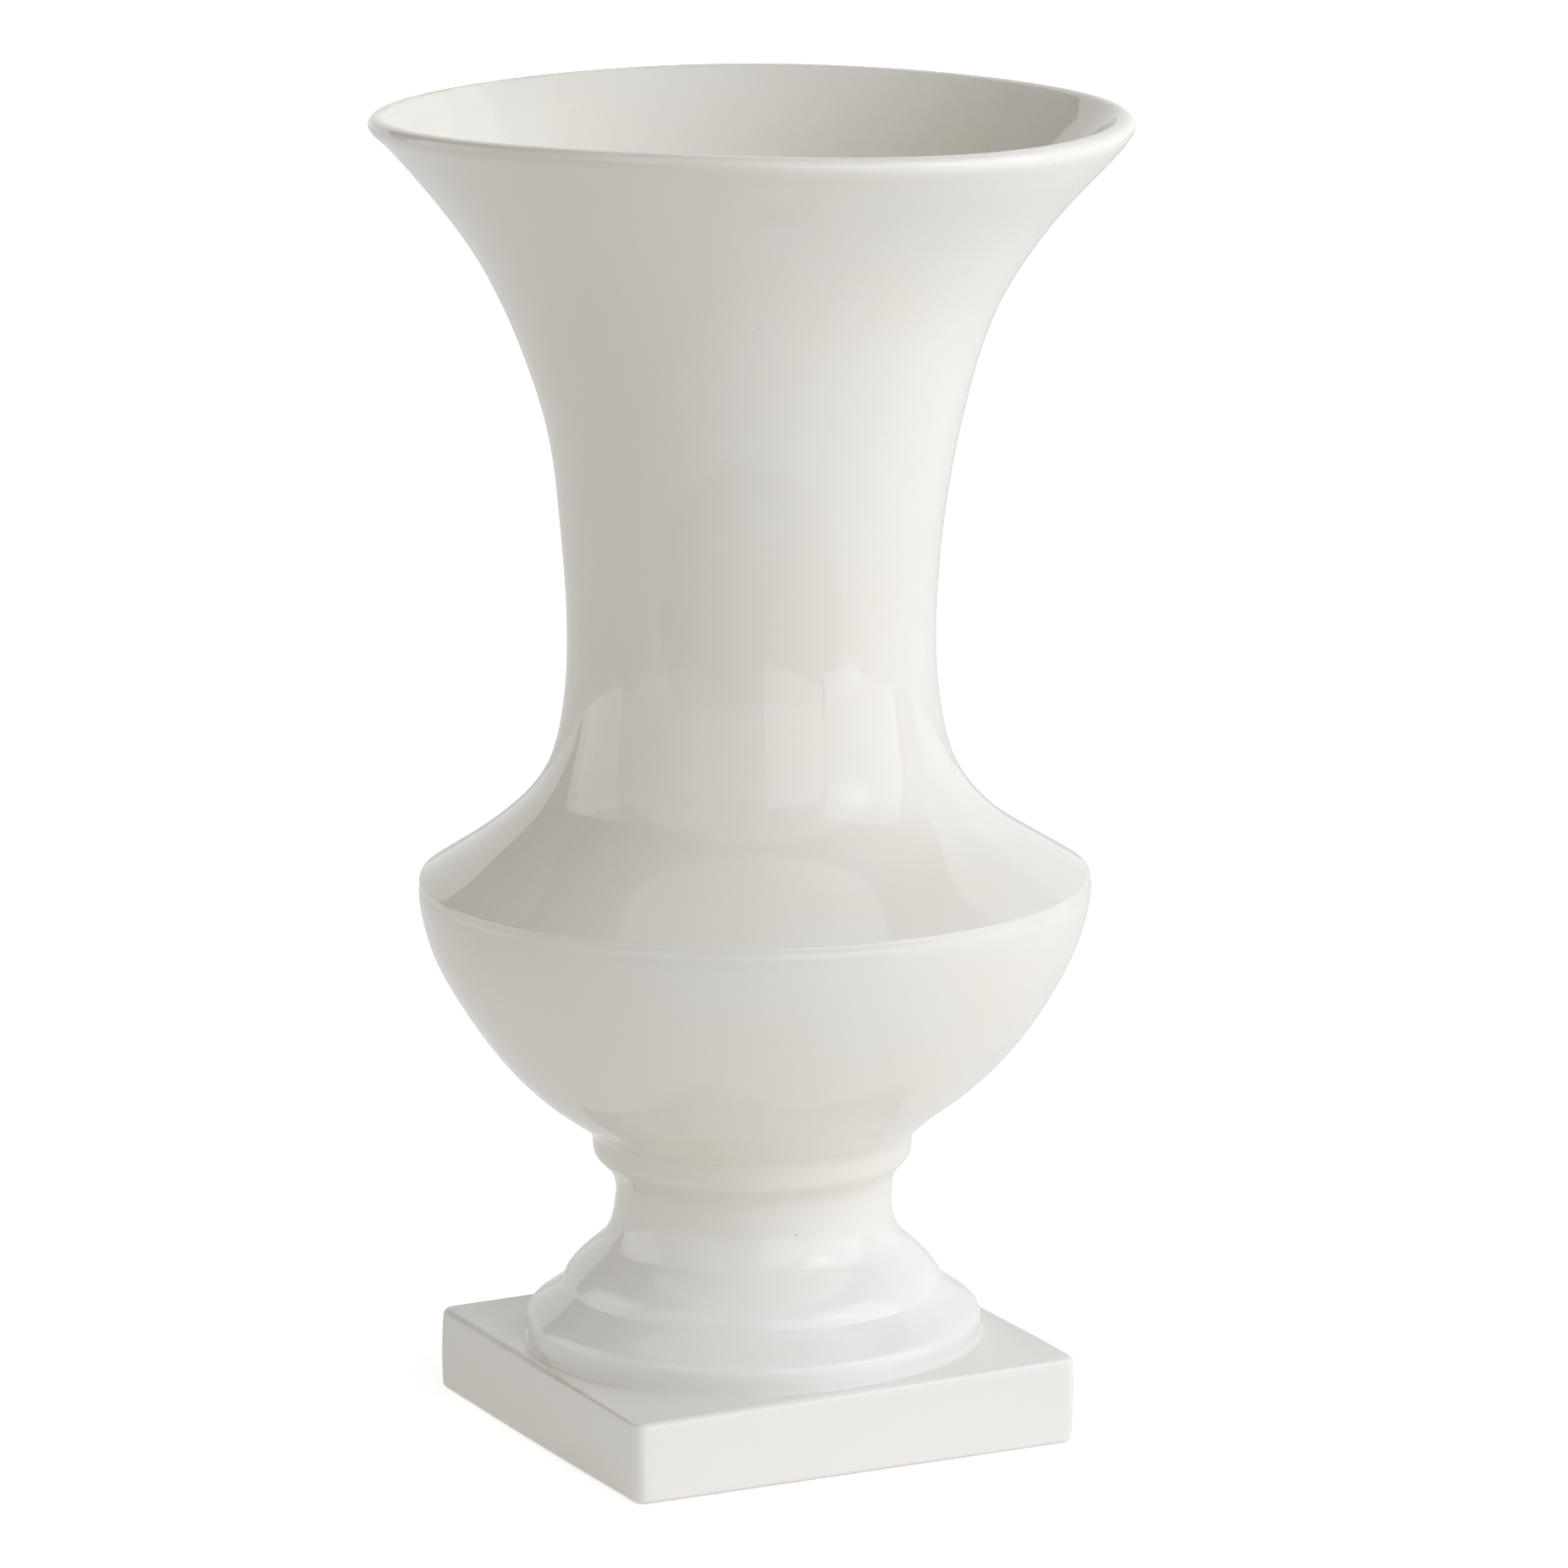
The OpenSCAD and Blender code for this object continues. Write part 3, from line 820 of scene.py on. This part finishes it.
# The specks: cells in a metre, how few of them hold one, and its core and edge. Then the
# gloss, and the bumps' heights in metres and strengths.
SPECK_SCALE = 190.0
SPECK_RARITY = 0.95
SPECK_CORE = 0.022
SPECK_EDGE = 0.050
GLAZE_ROUGH_LEAST = 0.018
GLAZE_ROUGH_MOST = 0.034
GLAZE_IOR = 1.5
GLAZE_DIMPLE = (0.000012, 1.0)
SLIP_ROUGH = 0.85
SLIP_GRAIN = (0.00015, 0.6)


def glaze_colour(tree, place):
    """Warm white, whiter and cooler low on the foot and the plinth, and tan where the glaze is
    thin, along the plinth's edges, and as painted shade along the lip's left."""
    tone = remap(tree, noise(tree, place, *TONE_NOISE), *TONE_SPAN, 0.0, 1.0)
    colour = mix_colour(tree, tone, GLAZE_WARM, GLAZE_COOL)
    height = add(tree, "ShaderNodeSeparateXYZ")
    tree.links.new(place.outputs["Object"], height.inputs[0])
    foot_share = remap(tree, height.outputs["Z"], FOOT_WHITE_TOP, FOOT_WHITE_FULL, 0.0, 1.0)
    colour = mix_colour(tree, foot_share, colour, GLAZE_FOOT)
    low = remap(tree, height.outputs["Z"], PLINTH_WHITE_TOP, PLINTH_WHITE_FULL, 0.0, 1.0)
    colour = mix_colour(tree, low, colour, GLAZE_PLINTH)
    # The tan mask: thin glaze at the ridge, tan lines at the plinth's edges and rim, and
    # painted shade along the lip's left.
    edge = add(tree, "ShaderNodeAttribute", attribute_name="glaze_break_and_shade")
    broken = remap(tree, noise(tree, place, *BREAK_NOISE), *NOISE_SPAN, BREAK_LEAST, 1.0)
    thin_and_shade = remap(tree, maths(tree, "MULTIPLY", edge.outputs["Fac"], broken),
                 *THIN_AND_SHADE_SPAN, 0.0, 1.0)
    return mix_colour(tree, thin_and_shade, colour, GLAZE_THIN_AND_SHADE)


def glaze_material():
    """Glossy glaze with a few iron specks."""
    made, tree = new_material("white_glaze_look")
    place = add(tree, "ShaderNodeTexCoord")
    colour = glaze_colour(tree, place)
    cells = add(tree, "ShaderNodeTexVoronoi", feature="F1")
    cells.inputs["Scale"].default_value = SPECK_SCALE
    tree.links.new(place.outputs["Object"], cells.inputs["Vector"])
    chosen = add(tree, "ShaderNodeSeparateColor")
    tree.links.new(cells.outputs["Color"], chosen.inputs["Color"])
    few = maths(tree, "GREATER_THAN", chosen.outputs["Red"], SPECK_RARITY)
    near = remap(tree, cells.outputs["Distance"], SPECK_CORE, SPECK_EDGE, 1.0, 0.0)
    colour = mix_colour(tree, maths(tree, "MULTIPLY", few, near), colour, SPECK)
    shader = add(tree, "ShaderNodeBsdfPrincipled")
    tree.links.new(colour, shader.inputs["Base Color"])
    rough = remap(tree, noise(tree, place, *GLOSS_NOISE), *NOISE_SPAN,
                  GLAZE_ROUGH_LEAST, GLAZE_ROUGH_MOST)
    tree.links.new(rough, shader.inputs["Roughness"])
    shader.inputs["IOR"].default_value = GLAZE_IOR
    roughen(tree, shader, noise(tree, place, *DIMPLE_NOISE), GLAZE_DIMPLE)
    end_tree(tree, shader)
    return made


def slip_material():
    """Dry fired slip, matt and buff."""
    made, tree = new_material("fired_slip_look")
    place = add(tree, "ShaderNodeTexCoord")
    tone = remap(tree, noise(tree, place, *SLIP_TONE_NOISE), *NOISE_SPAN, 0.0, 1.0)
    shader = add(tree, "ShaderNodeBsdfPrincipled")
    tree.links.new(mix_colour(tree, tone, SLIP_DARK, SLIP_LIGHT), shader.inputs["Base Color"])
    shader.inputs["Roughness"].default_value = SLIP_ROUGH
    roughen(tree, shader, noise(tree, place, *SLIP_GRAIN_NOISE), SLIP_GRAIN)
    end_tree(tree, shader)
    return made


# The scene

def seen_ray(tree):
    """1 for camera, glossy and transmission rays, which see the pale background."""
    path = add(tree, "ShaderNodeLightPath")
    seen = maths(tree, "MAXIMUM", path.outputs["Is Camera Ray"], path.outputs["Is Glossy Ray"])
    return maths(tree, "MAXIMUM", seen, path.outputs["Is Transmission Ray"])


# The studio's own light on the vase, by direction: one part that grows upwards, one from
# the floor beyond the table, and one that grows towards the camera and one to its right.
SKY_UP = 0.295
SKY_LOW = 0.13
SKY_LOW_REACH = 0.3
SKY_FRONT = 0.060
SKY_RIGHT = 0.860
WHITE_LIGHT = (1.0, 1.0, 1.0)
COOL_LIGHT = (0.965, 1.000, 1.090)
WARM_LIGHT = (1.020, 1.000, 0.935)


def sky_share(tree, place, facing, high, amount):
    """A share of the world's light that grows from 0 to the amount towards a direction."""
    dot = add(tree, "ShaderNodeVectorMath", operation="DOT_PRODUCT")
    tree.links.new(place.outputs["Generated"], dot.inputs[0])
    dot.inputs[1].default_value = facing
    return remap(tree, dot.outputs["Value"], 0.0, high, 0.0, amount)


def make_world():
    world = bpy.data.worlds.new("studio")
    bpy.context.scene.world = world
    world.use_nodes = True
    tree = world.node_tree
    tree.nodes.clear()
    place = add(tree, "ShaderNodeTexCoord")
    right_x, right_y = photo_side(1.0, 0.0)
    total = maths(tree, "ADD", sky_share(tree, place, (0.0, 0.0, 1.0), 1.0, SKY_UP),
                  sky_share(tree, place, (0.0, 0.0, -1.0), SKY_LOW_REACH, SKY_LOW))
    front_x, front_y = photo_side(0.0, -1.0)
    total = maths(tree, "ADD", total,
                  sky_share(tree, place, (front_x, front_y, 0.0), 1.0, SKY_FRONT))
    even = glow(tree, "ShaderNodeBackground", WARM_LIGHT, total)
    right = sky_share(tree, place, (right_x, right_y, 0.0), 1.0, SKY_RIGHT)
    side = glow(tree, "ShaderNodeBackground", COOL_LIGHT, right)
    light = joined(tree, "ShaderNodeAddShader", even.outputs[0], side.outputs[0])
    shown = glow(tree, "ShaderNodeBackground", WHITE_LIGHT, 1.0)
    both = joined(tree, "ShaderNodeMixShader", seen_ray(tree), light.outputs[0],
                  shown.outputs[0])
    end_tree(tree, both, "ShaderNodeOutputWorld")


# The table that the vase stands on, in the photograph's directions, in millimetres. It
# glows for the camera, from near the vase to where it fades out, both in metres.
TABLE_SIDE = 1600.0
TABLE_FRONT = 420.0
TABLE_BACK = 3400.0
TABLE_GREY = (0.86, 0.86, 0.86, 1.0)
GLOW_NEAR = 0.60
GLOW_FAR = 1.00
FADE_START = 0.28
FADE_END = 0.80
GLOW_MIRRORED = 0.27
GLOW_LIGHT = 0.19


def flat_sheet(name, material, corners):
    """A surface of one face."""
    mesh = bpy.data.meshes.new(name)
    mesh.from_pydata(corners, [], [tuple(range(len(corners)))])
    mesh.materials.append(material)
    return placed(name, mesh)


def table_material():
    """Pale, with a glow of its own that fades into the white background."""
    made, tree = new_material("floor_look")
    diffuse = add(tree, "ShaderNodeBsdfDiffuse")
    diffuse.inputs["Color"].default_value = TABLE_GREY
    path = add(tree, "ShaderNodeLightPath")
    mirrored = maths(tree, "MAXIMUM", path.outputs["Is Glossy Ray"],
                     path.outputs["Is Transmission Ray"])
    level = remap(tree, mirrored, 0.0, 1.0, GLOW_LIGHT, GLOW_MIRRORED)
    place = add(tree, "ShaderNodeTexCoord")
    far = add(tree, "ShaderNodeVectorMath", operation="LENGTH")
    tree.links.new(place.outputs["Object"], far.inputs[0])
    fade = remap(tree, far.outputs["Value"], FADE_START, FADE_END, GLOW_NEAR, GLOW_FAR)
    seen = maths(tree, "MULTIPLY", path.outputs["Is Camera Ray"], fade)
    own = glow(tree, "ShaderNodeEmission", WHITE_LIGHT, maths(tree, "MAXIMUM", level, seen))
    end_tree(tree, joined(tree, "ShaderNodeAddShader", diffuse.outputs[0], own.outputs[0]))
    return made


def make_floor():
    corners = [photo_side(right, away) * MM for right, away in (
        (-TABLE_SIDE, -TABLE_FRONT), (TABLE_SIDE, -TABLE_FRONT),
        (TABLE_SIDE, TABLE_BACK), (-TABLE_SIDE, TABLE_BACK))]
    floor = flat_sheet("floor", table_material(), [(x, y, 0.0) for x, y in corners])


# The studio's grey surfaces, which only the glaze's reflections see: each one's level,
# and its corners in metres to the photograph's right, away and up.
STUDIO = (
    ("ceiling_front", 0.68, ((-3, -3, 2.2), (3, -3, 2.2), (3, -0.75, 2.2), (-3, -0.75, 2.2))),
    ("ceiling_back", 0.10, ((-3, -0.75, 2.2), (3, -0.75, 2.2), (3, 1.5, 2.2), (-3, 1.5, 2.2))),
    ("studio_front", 0.95, ((-3, -3, 0), (3, -3, 0), (3, -3, 2.2), (-3, -3, 2.2))),
    ("studio_floor", 0.45, ((-3, -3, 0), (3, -3, 0), (3, -0.5, -1.5), (-3, -0.5, -1.5))),
    ("studio_left", 0.80, ((-3, -3, -0.2), (-3, 1.5, -0.2), (-3, 1.5, 2.2), (-3, -3, 2.2))),
    ("studio_right", 0.47, ((3, -3, -0.2), (3, 1.5, -0.2), (3, 1.5, 2.2), (3, -3, 2.2))),
    ("flag_left", 0.38, ((-3, 1.5, -0.1), (-2.1, 1.5, 0.0), (-1.62, 1.5, 0.30),
                         (-1.50, 1.5, 0.50), (-1.25, 1.5, 0.78), (-1.10, 1.5, 0.85),
                         (-0.90, 1.5, 0.87), (-0.84, 1.5, 0.93), (-0.84, 1.5, 1.05),
                         (-3, 1.5, 1.05))),
    ("flag_left_top", 0.33, ((-3, 1.5, 1.05), (-0.84, 1.5, 1.05), (-0.84, 1.5, 2.2),
                             (-3, 1.5, 2.2))),
    ("flag_right", 0.74, ((3, 1.5, -0.1), (2.40, 1.5, 0.23), (2.00, 1.5, 0.47),
                          (1.71, 1.5, 0.71), (1.55, 1.5, 1.00), (1.20, 1.5, 1.08),
                          (0.92, 1.5, 1.00), (0.83, 1.5, 1.00), (0.83, 1.5, 2.2),
                          (3, 1.5, 2.2))))


def studio_surface(name, level, corners):
    made, tree = new_material(name + "_look")
    end_tree(tree, glow(tree, "ShaderNodeEmission", WHITE_LIGHT, level))
    surface = flat_sheet(name, made, [(*photo_side(right, away), up)
                                      for right, away, up in corners])
    surface.visible_camera = False
    surface.visible_diffuse = False
    surface.visible_shadow = False
    surface.visible_transmission = False


def area_light(name, width, height, radiance, colour):
    data = bpy.data.lights.new(name, "AREA")
    data.shape = "RECTANGLE"
    data.size = width
    data.size_y = height
    data.color = colour
    data.energy = radiance * pi * width * height
    made = placed(name, data)
    made.visible_camera = False
    return made


def soft_light(name, facing, distance, left, right, low, high, radiance, colour):
    """An upright panel light square to a direction seen from the vase: facing is its
    azimuth in degrees from the camera's side, towards image right. Its edges are in
    metres along it, and above the floor."""
    made = area_light(name, right - left, high - low, radiance, colour)
    a = radians(facing)
    out = np.array([sin(a), -cos(a)])
    along = np.array([cos(a), sin(a)])
    middle = out * distance + along * (left + right) / 2
    x, y = photo_side(*middle)
    made.location = (x, y, (low + high) / 2)
    made.rotation_euler = (pi / 2, 0.0, a - TURN)
    return made


# The lamp for the inside of the mouth: its cone and its azimuth and rise from the vase in
# degrees, and its distance, size and the height that it aims at in metres.
MOUTH_POWER = 24.0
MOUTH_CONE = 7.2
MOUTH_BLEND = 0.35
MOUTH_SIDE = 60.0
MOUTH_RISE = 30.0
MOUTH_AWAY = 1.5
MOUTH_SOFT = 0.08
MOUTH_AIM_Z = 0.385


def mouth_light():
    """A narrow lamp from the photograph's right front, over the near lip, that lights
    only the far wall inside the mouth."""
    data = bpy.data.lights.new("mouth_lamp", "SPOT")
    data.energy = MOUTH_POWER
    data.color = COOL_LIGHT
    data.spot_size = radians(MOUTH_CONE)
    data.spot_blend = MOUTH_BLEND
    data.shadow_soft_size = MOUTH_SOFT
    made = placed("mouth_lamp", data)
    side, rise = radians(MOUTH_SIDE), radians(MOUTH_RISE)
    x, y = photo_side(sin(side) * cos(rise), -cos(side) * cos(rise))
    out = np.array([x, y, sin(rise)])
    made.location = np.array([0.0, 0.0, MOUTH_AIM_Z]) + out * MOUTH_AWAY
    made.rotation_euler = Vector(out).to_track_quat("Z", "Y").to_euler()
    made.visible_camera = False
    made.visible_glossy = False


def soften_edge(light, inner):
    """Fades a panel light from an inner share of its half size to its rim."""
    light.data.use_nodes = True
    tree = light.data.node_tree
    tree.nodes.clear()
    place = add(tree, "ShaderNodeNewGeometry")
    middle = add(tree, "ShaderNodeVectorMath", operation="SUBTRACT")
    tree.links.new(place.outputs["Parametric"], middle.inputs[0])
    middle.inputs[1].default_value = (0.5, 0.5, 0.0)
    length = add(tree, "ShaderNodeVectorMath", operation="LENGTH")
    tree.links.new(middle.outputs[0], length.inputs[0])
    fade = remap(tree, length.outputs["Value"], inner / 2, 0.5, 1.0, 0.0)
    fade.node.interpolation_type = "SMOOTHSTEP"
    lit = glow(tree, "ShaderNodeEmission", WHITE_LIGHT, fade)
    end_tree(tree, lit, "ShaderNodeOutputLight")


# The panels: name, azimuth, then distance, left and right edge and top over the middle's
# height, all in panel distances, then radiance and colour.
PANEL_D = 1.3
PANEL_LOW = -0.03
PANEL_MIDDLE = 0.163
PANELS = (
    ("panel_a", -61.0, 1.0, -1.88, -0.424, 1.0, 0.87, WHITE_LIGHT),
    ("panel_b", -38.0, 1.0, -1.036, 0.249, 1.334, 0.46, WHITE_LIGHT),
    ("panel_gap", -8.0, 1.05, -0.27, 0.27, 1.2, 0.10, WARM_LIGHT),
    ("panel_c", 8.0, 1.0, 0.0, 0.6745, 0.92, 0.95, COOL_LIGHT),
    ("panel_d", 57.0, 1.0, -0.231, 0.839, 1.12, 1.20, COOL_LIGHT),
    ("panel_e", 70.0, 1.0, 0.554, 1.235, 1.06, 0.15, COOL_LIGHT))

# A lamp within panel_d that fades from its core, and a fill light that the glaze doesn't
# mirror: what soft_light takes, in metres.
LAMP = ("panel_d_lamp", 60.0, 0.97 * PANEL_D, -0.42, 0.42, 0.43, 1.27, 1.60, COOL_LIGHT)
LAMP_CORE = 0.1
FILL = ("fill_right", 50.0, 1.5, -0.6, 0.6, 1.5, 2.3, 0.50, COOL_LIGHT)


def make_lights():
    for name, facing, distance, left, right, top, radiance, colour in PANELS:
        soft_light(name, facing, distance * PANEL_D, left * PANEL_D, right * PANEL_D,
                   PANEL_LOW, PANEL_MIDDLE + top * PANEL_D, radiance, colour)
    soften_edge(soft_light(*LAMP), LAMP_CORE)
    mouth_light()
    fill = soft_light(*FILL)
    fill.visible_glossy = False
    for name, level, corners in STUDIO:
        studio_surface(name, level, corners)


CLIP_START = 0.01
CLIP_END = 50.0


def make_camera():
    data = bpy.data.cameras.new("photo_camera")
    data.sensor_width = SENSOR
    data.lens = FOCAL_PX * SENSOR / IMAGE_SIDE
    data.clip_start = CLIP_START
    data.clip_end = CLIP_END
    made = placed("photo_camera", data)
    x, y = photo_side(CAMERA_RIGHT, -CAMERA_BACK)
    made.location = (x * MM, y * MM, CAMERA_UP * MM)
    made.rotation_euler = (pi / 2 - CAMERA_PITCH, CAMERA_ROLL, -TURN)
    bpy.context.scene.camera = made


def settle_piece(piece, node):
    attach(piece, "root")
    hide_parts(node)


# Where the neck section is tan: radius, height, reach and strength, and whether that is so all
# round or only on the camera's left. All round, at the ridge, it is thin glaze; only on the
# left, along the lip, it is painted shade.
NECK_BREAKS_AND_SHADE = ((90.4, 330.0, 0.9, 1.0, True), (93.4, 327.5, 1.2, 0.12, True),
               (RIDGE_R, RIDGE_Z, 1.0, 0.16, False))


def make_vase():
    glaze = glaze_material()
    slip = slip_material()
    settle_piece(lathe("neck_and_mouth", neck_outline(), glaze, NECK_BREAKS_AND_SHADE),
                 "neck_section")
    settle_piece(lathe("bowl", bowl_outline(), glaze), "bowl_section")
    settle_piece(lathe("stem_and_mouldings", pedestal_outline(), glaze, shape=foot_fillet),
                 "pedestal")
    settle_piece(plinth_piece("square_plinth", glaze), "plinth")
    seams = (
        ("shoulder_seam", "shoulder_slip_seam",
         (BORE_R, TONGUE_R + SLIP, TONGUE_R, TONGUE_Z - SLIP, RIM_Z)),
        ("collar_seam", "collar_slip_seam",
         (SPIGOT_BORE_R, SOCKET_R, SPIGOT_R, SOCKET_Z, COLLAR_Z)),
        ("plinth_seam", "plinth_slip_seam",
         (RING_R, FOOT_LAND_R, RING_R, PLINTH_Z, RING_Z)))
    for name, node, sizes in seams:
        settle_piece(lathe(name, seam_outline(*sizes), slip), node)


make_camera()
make_world()
make_floor()
make_lights()
make_vase()
bpy.context.scene.view_settings.view_transform = "Standard"
